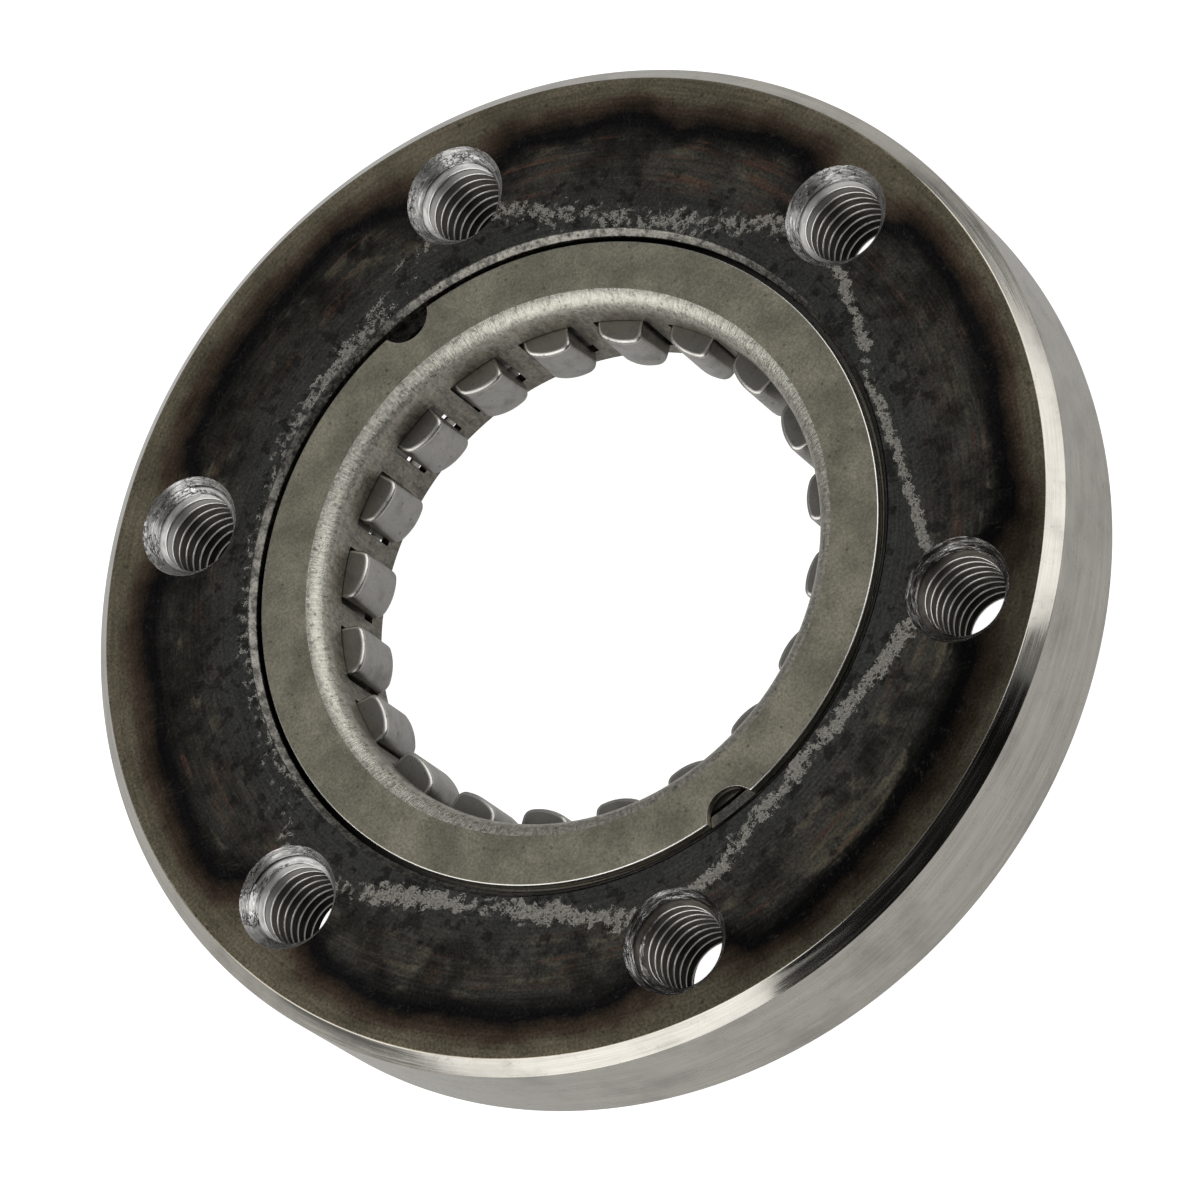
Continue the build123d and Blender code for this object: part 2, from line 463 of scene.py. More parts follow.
class Field:
    """A value, vector or colour over a surface: a node's output. Sums and products add Math nodes."""

    def __init__(self, tree, socket):
        self.tree = tree
        self.socket = socket

    def feed(self, socket):
        """Joins the field to an input."""
        self.tree.links.new(self.socket, socket)

    def calculate(self, operation, *others):
        """The result of a Math node."""
        return new_field("ShaderNodeMath", 0, enumerate((self, *others)), operation=operation)

    def vector_math(self, operation, inputs=(), output="Vector"):
        """The result of a Vector Math node."""
        return new_field("ShaderNodeVectorMath", output, {0: self, **dict(inputs)}, operation=operation)

    def __add__(self, other):
        return self.calculate("ADD", other)

    def __sub__(self, other):
        return self.calculate("SUBTRACT", other)

    def __mul__(self, other):
        return self.calculate("MULTIPLY", other)

    def __truediv__(self, other):
        return self.calculate("DIVIDE", other)

    def __rsub__(self, other):
        return new_field("ShaderNodeMath", 0, {0: other, 1: self}, operation="SUBTRACT")

    def __rtruediv__(self, other):
        return new_field("ShaderNodeMath", 0, {0: other, 1: self}, operation="DIVIDE")

    def __abs__(self):
        return self.calculate("ABSOLUTE")


def add_node(tree, kind, inputs=(), **settings):
    """Adds a node with its settings. Each input, by name or number, gets a value or a field."""
    node = tree.nodes.new(kind)
    for name, value in settings.items():
        setattr(node, name, value)
    for key, value in dict(inputs).items():
        if isinstance(value, Field):
            value.feed(node.inputs[key])
        else:
            node.inputs[key].default_value = value
    return node


def new_field(kind, output, inputs, **settings):
    """One output of a new node, in the tree of the fields that go into it."""
    inputs = dict(inputs)
    tree = next(value.tree for value in inputs.values() if isinstance(value, Field))
    return Field(tree, add_node(tree, kind, inputs, **settings).outputs[output])


def outputs_of(tree, kind, inputs=(), **settings):
    """All outputs of a new node, by name."""
    return {socket.name: Field(tree, socket) for socket in add_node(tree, kind, inputs, **settings).outputs}


def ease(value, start, end, low=0.0, high=1.0):
    """Goes smoothly from low to high while the value goes from start to end."""
    inputs = {"Value": value, "From Min": start, "From Max": end, "To Min": low, "To Max": high}
    return new_field("ShaderNodeMapRange", 0, inputs, interpolation_type="SMOOTHSTEP")


def stretched(vector, scale):
    """The vector with its three parts scaled."""
    return vector.vector_math("MULTIPLY", {1: scale})


def noise(vector, scale, detail=3.0, roughness=0.5):
    """Cloudy noise about 0.5, whose blots are 1 / scale across."""
    inputs = {"Vector": vector, "Scale": scale, "Detail": detail, "Roughness": roughness}
    return new_field("ShaderNodeTexNoise", "Fac", inputs)


def wander(vector, scale, reach, detail=3.0):
    """Cloudy noise about 0, from minus to plus half the reach."""
    return (noise(vector, scale, detail) - 0.5) * reach


def rgba(colour):
    """A colour with its alpha."""
    return (*colour, 1.0)


def scaled(colour, factor):
    """A darker or brighter colour."""
    return tuple(factor * part for part in colour)


def grey(value):
    """The value as a colour."""
    return new_field("ShaderNodeCombineColor", 0, {0: value, 1: value, 2: value})


def blend(share, first, second, mode="MIX"):
    """Two colours mixed; share says how much of the second shows."""
    first, second = (colour if isinstance(colour, Field) else rgba(colour) for colour in (first, second))
    inputs = {MIX_SHARE: share, MIX_FIRST: first, MIX_SECOND: second}
    return new_field("ShaderNodeMix", MIX_RESULT, inputs, data_type="RGBA", blend_type=mode)


def dimmed(colour, factor):
    """The colour multiplied by a factor that changes over the surface."""
    return blend(1.0, colour, grey(factor), mode="MULTIPLY")


def channels(colour):
    """The three parts of a colour."""
    return list(outputs_of(colour.tree, "ShaderNodeSeparateColor", {0: colour}).values())


def colour_ramp(value, stops):
    """Colours along a value, given as (value, colour) from the lowest to the highest."""
    low, high = stops[0][0], stops[-1][0]
    share = new_field("ShaderNodeMapRange", 0, {"Value": value, "From Min": low, "From Max": high})
    node = add_node(value.tree, "ShaderNodeValToRGB", {"Fac": share})
    elements = node.color_ramp.elements
    for number, (place, colour) in enumerate(stops):
        position = (place - low) / (high - low)
        if number in (0, len(stops) - 1):
            element = elements[0 if number == 0 else -1]
            element.position = position
        else:
            element = elements.new(position)
        element.color = rgba(colour)
    return Field(value.tree, node.outputs["Color"])


def shader_group(name, inputs, outputs, build):
    """The named node group. Its first use builds it: build turns its input fields into its output fields."""
    if name in bpy.data.node_groups:
        return bpy.data.node_groups[name]
    group = bpy.data.node_groups.new(name, "ShaderNodeTree")
    for side, sockets in (("INPUT", inputs), ("OUTPUT", outputs)):
        for socket, kind in sockets.items():
            group.interface.new_socket(socket, in_out=side, socket_type=f"NodeSocket{kind}")
    given = outputs_of(group, "NodeGroupInput")
    end = add_node(group, "NodeGroupOutput")
    for socket, field in build(given).items():
        field.feed(end.inputs[socket])
    return group


def placed(group, **inputs):
    """The outputs of a group placed in its inputs' tree. Underscores in the names stand for spaces."""
    named = {name.replace("_", " "): value for name, value in inputs.items()}
    tree = next(value.tree for value in named.values() if isinstance(value, Field))
    return outputs_of(tree, "ShaderNodeGroup", named, node_tree=group)


def ring_place(point):
    """Where the point lies on the ring, in millimetres and radians."""

    def build(given):
        flat = stretched(given["Point"], (1, 1, 0))
        radius = flat.vector_math("LENGTH", output="Value")
        parts = outputs_of(flat.tree, "ShaderNodeSeparateXYZ", {0: given["Point"]})
        angle = parts["Y"].calculate("ARCTAN2", parts["X"])
        half_sector = math.pi / BOLT_COUNT
        from_hole = angle.calculate("WRAP", half_sector, -half_sector)
        along = radius * from_hole.calculate("COSINE") - BOLT_CIRCLE / MM
        aside = radius * from_hole.calculate("SINE")
        from_middle = half_sector - abs(from_hole)
        return {
            "Radius": radius,
            "Height": parts["Z"],
            "Angle": angle,
            "Direction": flat.vector_math("NORMALIZE"),
            "Hole Distance": (along * along + aside * aside).calculate("SQRT"),
            "Chord": radius * from_middle.calculate("COSINE"),
        }

    outputs = dict.fromkeys(("Radius", "Height", "Angle", "Hole Distance", "Chord"), "Float")
    group = shader_group("Place on the Ring", {"Point": "Vector"}, {**outputs, "Direction": "Vector"}, build)
    return placed(group, Point=point)


def turning_marks(place, across, spacing, run):
    """Mask of fine lines round the axis, such as a lathe tool leaves. Each is about as long as the run."""

    def build(given):
        reach = BOLT_CIRCLE / MM / given["Run"]
        around = given["Direction"].vector_math("SCALE", {"Scale": reach})
        lines = new_field("ShaderNodeCombineXYZ", 0, {"Z": given["Across"] / given["Spacing"]})
        return {"Mask": noise(around.vector_math("ADD", {1: lines}), 1.0, 3.0, 0.6)}

    inputs = {"Direction": "Vector", "Across": "Float", "Spacing": "Float", "Run": "Float"}
    group = shader_group("Turning Marks", inputs, {"Mask": "Float"}, build)
    return placed(group, Direction=place["Direction"], Across=across, Spacing=spacing, Run=run)["Mask"]


def grain_and_pits(point, grain_size, pit_size):
    """Masks of an even fine grain, and of sparse pits of the same make."""

    def build(given):
        grain = noise(given["Point"], 1.0 / given["Grain Size"], 2.0, 0.6)
        spread = 1.0 / given["Pit Size"]
        cells = outputs_of(spread.tree, "ShaderNodeTexVoronoi", {"Vector": given["Point"], "Scale": spread})
        chance = channels(cells["Color"])[0]
        widest_pit = 0.3
        rim = chance * chance * widest_pit
        return {"Grain": grain, "Pits": ease(cells["Distance"], rim, rim * 0.5)}

    inputs = {"Point": "Vector", "Grain Size": "Float", "Pit Size": "Float"}
    group = shader_group("Grain and Pits", inputs, {"Grain": "Float", "Pits": "Float"}, build)
    masks = placed(group, Point=point, Grain_Size=grain_size, Pit_Size=pit_size)
    return masks["Grain"], masks["Pits"]


def fine_scratches(point, size):
    """Mask of short thin scratches in two directions."""

    def build(given):
        small = given["Point"].vector_math("SCALE", {"Scale": 1.0 / given["Size"]})
        masks = []
        for turn in (0.6, 2.3):
            inputs = {"Vector": small, "Angle": turn}
            turned = new_field("ShaderNodeVectorRotate", 0, inputs, rotation_type="Z_AXIS")
            lines = noise(stretched(turned, (0.35, 3.0, 1.0)), 1.0, 2.0, 0.7)
            thin = ease(abs(lines - 0.5), 0.012, 0.002)
            here = ease(noise(turned, 0.7, 1.0), 0.56, 0.64)
            masks.append(thin * here)
        return {"Mask": masks[0].calculate("MAXIMUM", masks[1])}

    group = shader_group("Fine Scratches", {"Point": "Vector", "Size": "Float"}, {"Mask": "Float"}, build)
    return placed(group, Point=point, Size=size)["Mask"]


def toward_side(place, angle):
    """Goes from 1 in the direction of the angle to -1 on the opposite side of the clutch."""
    return (place["Angle"] - angle).calculate("COSINE")


def by_side(place, sides):
    """Three values that change round the clutch, from rows of a share of a full turn and the values there."""
    return channels(colour_ramp(place["Angle"] / math.tau, [(turn, values) for turn, *values in sides]))


def heat_distance(place, point, pattern):
    """Millimetres outside the wavy heat line, which bends in beside the holes and at one dip."""
    waves = wander(point, 0.12, 3.2, detail=2.0)
    ripples = wander(point, 0.8, 1.1)
    sway = toward_side(place, pattern.sway_angle) * (-pattern.sway / MM)
    reach, pull = pattern.hole_reach / MM, pattern.hole_pull / MM
    near_hole = ease(place["Hole Distance"], reach, BOLT_CORE / MM, 0.0, pull)
    from_dip = abs(place["Angle"] - pattern.dip_angle)
    dip = ease(from_dip, pattern.dip_width, 0.0, 0.0, pattern.dip_depth / MM)
    return place["Radius"] - pattern.line_radius / MM + waves + ripples + sway + near_hole + dip


def worn_patches(place, point, pattern):
    """Mask of the patches worn along straight lines from hole to hole, more on some sides than on others."""
    # Share of a full turn, how much is worn, how broad the worn line is, and how much is worn beside the bore
    amount, breadth, at_bore = by_side(place, [
        (-0.5, 0.72, 0.72, 0),
        (-0.42, 0.82, 0.66, 0),
        (-0.3, 0.84, 0.64, 0),
        (-0.17, 0.82, 0.5, 0),
        (-0.14, 0.8, 0.4, 0),
        (-0.01, 0.78, 0.46, 0),
        (0.01, 0.6, 0.9, 0),
        (0.15, 0.6, 1.0, 0),
        (0.19, 0.5, 0.95, 0.1),
        (0.25, 0.3, 0.95, 0.5),
        (0.36, 0.1, 0.9, 0.42),
        (0.46, 0.2, 0.8, 0.36),
        (0.5, 0.72, 0.72, 0),
    ])
    aside = abs(place["Chord"] + wander(point, 0.22, 2.4, detail=2.0) - pattern.wear_chord / MM)
    line = ease(aside, breadth * (pattern.wear_width / MM), 0.0)
    gaps = ease(noise(point, 0.17, 1.0), 0.36, 0.5, 0.65, 1.0)
    beside_bore = ease(place["Radius"], 39.2, 36.2) * at_bore
    worn_here = line * amount * gaps + beside_bore
    blots = noise(point, 1.2, 6.0, 0.75)
    full_wear = 0.34
    worn = ease(blots + worn_here * full_wear, 0.68, 0.71)
    spots = ease(noise(point, 2.4), 0.57, 0.63, 1.0, 0.1)
    return worn * spots


# Materials


def new_material(name):
    """A material with its node tree and its shader."""
    material = bpy.data.materials.new(name)
    material.use_nodes = True
    tree = material.node_tree
    return material, tree, tree.nodes["Principled BSDF"]


def new_steel(name):
    """A metal, and the Object coordinates in millimetres that its pattern is laid out on."""
    material, tree, shader = new_material(name)
    shader.inputs["Metallic"].default_value = 1.0
    coordinates = outputs_of(tree, "ShaderNodeTexCoord")["Object"]
    return material, coordinates.vector_math("SCALE", {"Scale": 1 / MM})


def finish_steel(material, colour, roughness, height, depth):
    """Joins the colour, the roughness and a relief, whose depth is in millimetres, to the metal's shader."""
    shader = material.node_tree.nodes["Principled BSDF"]
    inputs = {"Height": height, "Strength": 1.0, "Distance": depth * MM}
    relief = new_field("ShaderNodeBump", "Normal", inputs)
    for field, socket in ((colour, "Base Color"), (roughness, "Roughness"), (relief, "Normal")):
        field.feed(shader.inputs[socket])
    return material


def front_face_steel(colours, pattern):
    """Hardened face: bare rim, dark heat line, blotchy scale with rusty streaks, and patches worn bare."""
    material, point = new_steel("front_face_steel")
    place = ring_place(point)
    radius = place["Radius"]
    grain, pits = grain_and_pits(point, 0.3, 1.2)

    # Tints of the heat, at millimetres outside the heat line
    outside = heat_distance(place, point, pattern)
    scale_grey = tuple((a + b) / 2 for a, b in zip(colours.charcoal, colours.blued))
    shade = colour_ramp(outside, [
        (-12.0, colours.blued),
        (-7.0, scale_grey),
        (-3.6, colours.charcoal),
        (-2.0, scaled(scale_grey, 0.7)),
        (-1.0, scaled(scale_grey, 0.4)),
        (-0.3, colours.heat_black),
        (0.6, colours.heat_black),
        (1.5, scaled(colours.heat_brown, 0.5)),
        (2.6, colours.heat_brown),
        (3.6, scaled(colours.bare_rim, 0.75)),
        (5.2, colours.bare_rim),
    ])

    # Clouds, and the sides on which the face is darker
    in_scale = ease(radius, 39.5, 43.0) * ease(outside, -0.6, -1.8)
    clouds = noise(point, 0.24, 5.0, 0.62)
    cloudiness = in_scale * 0.75 + 0.25
    cloudy = blend(cloudiness, (1, 1, 1), ease(clouds, 0.32, 0.66, 0.45, 1.35))
    shade = blend(1.0, shade, cloudy, mode="MULTIPLY")
    on_darker_side = ease(toward_side(place, pattern.darker_side), 0.62, 1.0) * ease(outside, -3.0, -0.5)
    shade = dimmed(shade, ease(on_darker_side, 0.0, 1.0, 1.0, 0.5))
    sooty = ease(toward_side(place, pattern.sooty_side), 0.4, 0.9) * in_scale
    shade = dimmed(shade, ease(sooty, 0.0, 1.0, 1.0, 0.74))

    # Olive and rusty streaks, and black spots near the counterbore
    streaks = turning_marks(place, radius, 1.4, 7.0)
    olive = in_scale * ease(streaks, 0.5, 0.68) * ease(clouds, 0.44, 0.58) * 0.8
    shade = blend(olive, shade, colours.olive)
    fine_streaks = turning_marks(place, radius, 0.8, 13.0)
    rusty = in_scale * ease(fine_streaks, 0.5, 0.68) * ease(noise(point, 0.15), 0.45, 0.6)
    shade = blend(rusty * 0.75, shade, colours.rust)
    spots = ease(noise(point, 0.7, 4.0), 0.54, 0.62) * ease(radius, 45.0, 42.0) * 0.6
    shade = blend(spots, shade, colours.heat_black)

    # Lathe marks and grain, then what has been worn, scratched and pitted
    marks = turning_marks(place, radius, 0.3, 9.0)
    lathe = ease(in_scale, 0.0, 1.0, 0.2, 0.24)
    shade = dimmed(shade, lathe * ease(marks, *MOST, -1.0, 1.0) + 1.0)
    shade = dimmed(shade, ease(grain, *ALL, 0.7, 1.3))
    worn = worn_patches(place, point, pattern)
    shade = blend(worn, shade, dimmed(colours.worn, ease(grain, *ALL, 0.65, 1.2)))
    shade = blend(fine_scratches(point, 1.2) * 0.12, shade, colours.worn)
    shade = blend(pits * 0.5, shade, colours.grime_and_shade)

    roughness = ease(outside, -2.0, 3.0, 0.4, 0.27) + ease(grain, *ALL, -0.06, 0.08)
    relief = marks * 0.6 + grain * 0.5 - worn
    return finish_steel(material, shade, roughness, relief, 0.012)


def machined_steel(name, colour, grime_and_shade, rough, spacing, depth):
    """Turned steel: fine lines round the axis, faint blotches and a few scratches."""
    material, point = new_steel(name)
    place = ring_place(point)
    across = place["Radius"] - place["Height"]
    marks = turning_marks(place, across, spacing, 7.0)
    bands = turning_marks(place, across, 6 * spacing, 16.0)
    scratches = fine_scratches(point, 1.6)
    clouds = noise(point, 0.16, 4.0, 0.6)
    shade = blend(ease(clouds, 0.42, 0.8, 0.0, 0.3), colour, grime_and_shade)
    shade = dimmed(shade, ease(marks, *MOST, 0.86, 1.1))
    shade = dimmed(shade, ease(bands, *MOST, 0.88, 1.08))
    shade = blend(scratches * 0.3, shade, grime_and_shade)
    roughness = ease(bands, *MIDDLE, -0.05, 0.07) + ease(marks, *MIDDLE, -0.04, 0.04) + rough
    return finish_steel(material, shade, roughness, marks - scratches * 0.5, depth)


def pitted_edge_steel(colours, pattern):
    """Counterbore: dark wall and seat, the seat painted black as shade except towards one side. Its edge is
    rubbed grey on one side and painted black, as shade, on the other.
    """
    material, point = new_steel("pitted_edge_steel")
    place = ring_place(point)
    grain, pits = grain_and_pits(point, 0.35, 0.7)
    soot_and_painted_shade = scaled(colours.heat_black, 0.25)
    # Painted shade: the seat is black except towards the darker side, where it is a dim grey
    unshaded_seat = ease(toward_side(place, pattern.darker_side), -0.3, 0.7)
    seat = blend(unshaded_seat, soot_and_painted_shade, scaled(colours.race, 0.4))
    # Share of a full turn, how much of the edge is rubbed bare, how far down the wall that goes, and nothing
    rubbed, down_wall, _ = by_side(place, [
        (-0.5, 0.3, 0, 0),
        (-0.43, 0.2, 0, 0),
        (-0.37, 0.02, 0, 0),
        (-0.13, 0.0, 0, 0),
        (-0.07, 0.05, 0, 0),
        (0.0, 0.22, 0, 0),
        (0.06, 0.42, 0.2, 0),
        (0.12, 0.5, 0.8, 0),
        (0.2, 0.46, 1.0, 0),
        (0.33, 0.4, 1.0, 0),
        (0.4, 0.45, 0.4, 0),
        (0.5, 0.3, 0, 0),
    ])
    patches = ease(noise(point, 0.9, 6.0, 0.7), 0.4, 0.58, 0.4, 1.25)
    # Where little of the edge is rubbed bare, it is painted black as shade
    edge = blend(rubbed * patches, soot_and_painted_shade, colours.worn)
    furthest_down = 0.7
    height = place["Height"] + down_wall * furthest_down
    face = RING_TOP.z / MM
    shade = blend(ease(height, face - 1.0, face - 0.65), seat, edge)
    shade = dimmed(shade, ease(grain, *ALL, 0.6, 1.2))
    shade = blend(pits * 0.7, shade, soot_and_painted_shade)
    shade = blend(fine_scratches(point, 0.7) * 0.6, shade, soot_and_painted_shade)
    roughness = ease(grain, *ALL, 0.26, 0.42)
    return finish_steel(material, shade, roughness, grain - pits * 1.5, 0.02)


def hole_mouth_steel(colours, pattern):
    """Conical mouths: freshly cut, with chatter round the hole, scratches and dark cracks, and painted shade
    towards the darker side.
    """
    material, point = new_steel("hole_mouth_steel")
    place = ring_place(point)
    # Painted shade: more of the grime colour towards the darker side
    oil_and_shade = ease(toward_side(place, pattern.darker_side), -0.2, 0.8, -0.05, 0.15)
    chatter = noise(stretched(point, (0.45, 0.45, 3.2)), 1.0, 4.0, 0.65)
    cracks = noise(stretched(point, (0.9, 0.9, 2.6)), 1.0, 5.0, 0.7)
    dark = ease(abs(cracks - 0.5), 0.03, 0.01) * ease(noise(point, 0.35), 0.42, 0.55)
    shade = blend(ease(chatter + oil_and_shade, 0.52, 0.74), colours.cut_steel, colours.grime_and_shade)
    shade = dimmed(shade, ease(cracks, *ALL, 0.7, 1.2))
    shade = blend(dark, shade, colours.grime_and_shade)
    roughness = ease(chatter, *MIDDLE, 0.2, 0.42)
    return finish_steel(material, shade, roughness, chatter - dark * 0.6, 0.07)


def thread_steel(colours, pattern):
    """Threads: the first turns cut bright, the rest darker further down between thin rubbed crests, with painted
    shade reaching up to the mouth on the darker side.
    """
    material, point = new_steel("thread_steel")
    place = ring_place(point)
    tears = noise(stretched(point, (0.6, 0.6, 4.0)), 1.0, 4.0, 0.65)
    depth = place["Hole Distance"] - BOLT_CORE / MM
    below_face = RING_TOP.z / MM - place["Height"]
    # Painted shade: towards the darker side the dark turns reach up to the mouth
    painted_shade_depth = ease(toward_side(place, pattern.darker_side), -0.2, 0.8, 0.0, 6.0)
    fresh = ease(below_face + tears * 3.0 + painted_shade_depth, 7.5, 4.0)
    shade = blend(fresh * 0.85, scaled(colours.grime_and_shade, 1.5), colours.cut_steel)
    shade = blend(ease(depth, 0.4, 0.7), shade, colours.valley)
    shade = dimmed(shade, ease(tears, *MOST, 0.6, 1.3))
    crest = ease(depth + tears * 0.06, 0.12, 0.05)
    shade = blend(crest * 0.9, shade, colours.cut_steel)
    return finish_steel(material, shade, ease(crest, 0.0, 1.0, 0.48, 0.25), tears, 0.03)


def flange_steel(colours):
    """Flat of the drawn cage: satin sheet with a fine cloudy grain and a few specks."""
    material, point = new_steel("flange_steel")
    grain, pits = grain_and_pits(point, 0.28, 0.9)
    clouds = noise(point, 0.22, 4.0, 0.6)
    scratches = fine_scratches(point, 1.8)
    shade = dimmed(colours.flange, ease(clouds, *MOST, 0.84, 1.14))
    shade = dimmed(shade, ease(grain, *ALL, 0.82, 1.16))
    shade = blend(pits * 0.4, shade, colours.grime_and_shade)
    shade = blend(scratches * 0.25, shade, colours.grime_and_shade)
    roughness = ease(clouds, *MIDDLE, 0.3, 0.4) + ease(grain, *ALL, -0.04, 0.05)
    return finish_steel(material, shade, roughness, grain - pits * 0.8 - scratches * 0.4, 0.008)


def drawn_steel(colours):
    """Shoulder and wall of the cage: a crinkled bend painted bright, partly as its sheen, then a wall with
    streaks along the axis and painted shade further down.
    """
    material, point = new_steel("drawn_steel")
    place = ring_place(point)
    pits = grain_and_pits(point, 0.25, 0.8)[1]
    around = stretched(place["Direction"], (50.0, 50.0, 0.0))
    pulled = around.vector_math("ADD", {1: stretched(point, (0.0, 0.0, 0.5))})
    streaks = noise(pulled, 0.9, 4.0, 0.65)
    wrinkles = noise(pulled, 2.3, 4.0, 0.65)
    pebbles = noise(point, 2.8, 4.0, 0.7)
    flange = CAGE_TOP.z / MM
    bend = ease(place["Height"], flange - 2.0, flange - 1.1)
    # Painted shade: the wall is darker further down, below the shoulder
    low = ease(place["Height"], flange - 2.4, flange - 4.4, 0.1, 0.45)

    oil_and_shade = ease(streaks, 0.4, 0.7) * 0.35
    wall = blend(oil_and_shade + low * 0.6, colours.drawn, colours.grime_and_shade)
    # The bend gets the brighter shoulder colour, partly as a painted sheen
    shade = blend(bend, wall, colours.shoulder)
    shade = dimmed(shade, ease(pebbles, *MOST, 0.7, 1.2))
    shade = dimmed(shade, ease(wrinkles, *MIDDLE, 0.8, 1.1))
    hollows = ease(noise(point, 1.5, 6.0, 0.75), 0.5, 0.68, 0.0, 0.6)
    shade = blend(hollows, shade, colours.grime_and_shade)
    shade = blend(pits * 0.45, shade, colours.grime_and_shade)
    roughness = ease(pebbles, *MOST, 0.34, 0.5)
    crinkled = wrinkles * ease(bend, 0.0, 1.0, 0.3, 1.15)
    return finish_steel(material, shade, roughness, crinkled + pebbles * 0.7 - pits * 0.4, 0.05)


def sprag_steel(name, colour, colours, rough):
    """Hardened and tumbled steel: soft clouds, small dark specks, fine marks of tumbling, and painted shade
    towards the cage wall.
    """
    material, point = new_steel(name)
    grain, pits = grain_and_pits(point, 0.22, 0.9)
    clouds = noise(point, 0.45, 3.0, 0.6)
    scratches = fine_scratches(point, 0.8)
    shade = blend(ease(clouds, 0.45, 0.75, 0.0, 0.3), colour, colours.grime_and_shade)
    # Painted shade: darker towards the cage wall, and a little brighter towards the tips
    shade = dimmed(shade, ease(ring_place(point)["Radius"], *WINDOW_REACH, 1.08, 0.72))
    shade = dimmed(shade, ease(grain, *ALL, 0.9, 1.1))
    shade = blend(pits * 0.45, shade, colours.grime_and_shade)
    shade = blend(scratches * 0.2, shade, colours.sprag_edge)
    roughness = ease(clouds, *MIDDLE, -0.04, 0.06) + rough
    return finish_steel(material, shade, roughness, grain - scratches * 0.5, 0.003)


def strip_steel(name, colour, stain, rough):
    """Thin rolled strip, with lines along the rolling and stains."""
    material, point = new_steel(name)
    place = ring_place(point)
    lines = turning_marks(place, place["Height"], 0.25, 6.0)
    stains = noise(point, 0.3, 4.0, 0.6)
    shade = blend(ease(stains, 0.45, 0.75, 0.0, 0.6), colour, stain)
    shade = dimmed(shade, ease(lines, *MOST, 0.85, 1.12))
    roughness = ease(stains, *MIDDLE, -0.05, 0.08) + rough
    return finish_steel(material, shade, roughness, lines, 0.006)


# Outer ring


def ring_blank(sizes):
    """The turned ring before its holes are drilled."""
    outer_radius = RING_TOP.x
    face = RING_TOP.z
    seat = face - sizes.counterbore_depth
    corners = [
        (sizes.race_radius, sizes.race_lead_in),
        (sizes.race_radius + sizes.race_lead_in, 0.0),
        (outer_radius - sizes.rear_chamfer, 0.0),
        (outer_radius, sizes.rear_chamfer),
        (outer_radius, face - sizes.front_chamfer),
        (outer_radius - sizes.front_chamfer, face),
        (sizes.counterbore_radius + sizes.counterbore_edge, face),
        (sizes.counterbore_radius, face - sizes.counterbore_edge),
        (sizes.counterbore_radius, seat),
        (sizes.race_radius, seat),
    ]
    ring = turned_piece("turned_ring", corners, sizes.turning_steps)
    for radius, height in corners:
        if (radius, height) != (sizes.counterbore_radius, seat):
            round_corner(ring, radius, height, sizes.rim_rounding, segments=2)
    return ring


def thread_mouth_cutter(sizes):
    """A solid that opens both ends of a bolt hole: a cone at the face, the drilled core, a cone at the rear."""
    face = RING_TOP.z
    sliver = 0.01 * MM
    drill = BOLT_CORE - sliver
    mouth_depth = (sizes.mouth_radius - drill) / math.tan(sizes.mouth_angle / 2)
    corners = [
        (sliver, -CLEAR),
        (sizes.exit_radius + CLEAR, -CLEAR),
        (drill, sizes.exit_radius - drill),
        (drill, face - mouth_depth),
        (sizes.mouth_radius, face),
        (sizes.mouth_radius + sizes.edge_break, face),
        (sizes.mouth_radius + sizes.edge_break, face + CLEAR),
        (sliver, face + CLEAR),
    ]
    return turned_piece("mouth_cutter", corners, steps=96)


def tap(sizes):
    """A tap on the Z axis: one tooth drawn as a line, screwed up through the ring and cut flat at both ends."""
    pitch = sizes.pitch
    valley = sizes.valley_share * pitch
    crest = sizes.crest_share * pitch
    flank = (pitch - valley - crest) / 2
    turns_below, turns_above = 2, 2
    foot = -turns_below * pitch
    tooth = [
        (BOLT_CORE, 0, foot),
        (BOLT_CORE, 0, foot + crest),
        (sizes.outer_radius, 0, foot + crest + flank),
        (sizes.outer_radius, 0, foot + crest + flank + valley),
        (BOLT_CORE, 0, foot + pitch),
    ]
    screw = drawn_line("tap", tooth)
    apply_modifier(
        screw,
        "SCREW",
        axis="Z",
        angle=math.tau,
        screw_offset=pitch,
        iterations=math.ceil(RING_TOP.z / pitch) + turns_below + turns_above,
        steps=sizes.steps_per_turn,
        render_steps=sizes.steps_per_turn,
        use_merge_vertices=False,
    )
    edit(screw)
    bpy.ops.mesh.remove_doubles(threshold=MERGE)
    past_face = 0.7 * pitch
    for height, outward in ((-past_face, -1), (RING_TOP.z + past_face, 1)):
        bpy.ops.mesh.select_all(action="SELECT")
        bpy.ops.mesh.bisect(
            plane_co=(0, 0, height),
            plane_no=(0, 0, outward),
            use_fill=True,
            clear_outer=True,
            threshold=0.0001 * MM,
        )
    finish_edit()
    return screw


def at_first_hole(cutter):
    """Moves a cutter from the axis to the bolt hole on +X."""
    make_active(cutter)
    cutter.location.x = BOLT_CIRCLE
    apply_place()
    return cutter


def hole_distance(point):
    """From a point to the axis of the nearest bolt hole."""
    sector = math.tau / BOLT_COUNT
    angle = sector * round(math.atan2(point.y, point.x) / sector)
    return math.hypot(point.x - BOLT_CIRCLE * math.cos(angle), point.y - BOLT_CIRCLE * math.sin(angle))


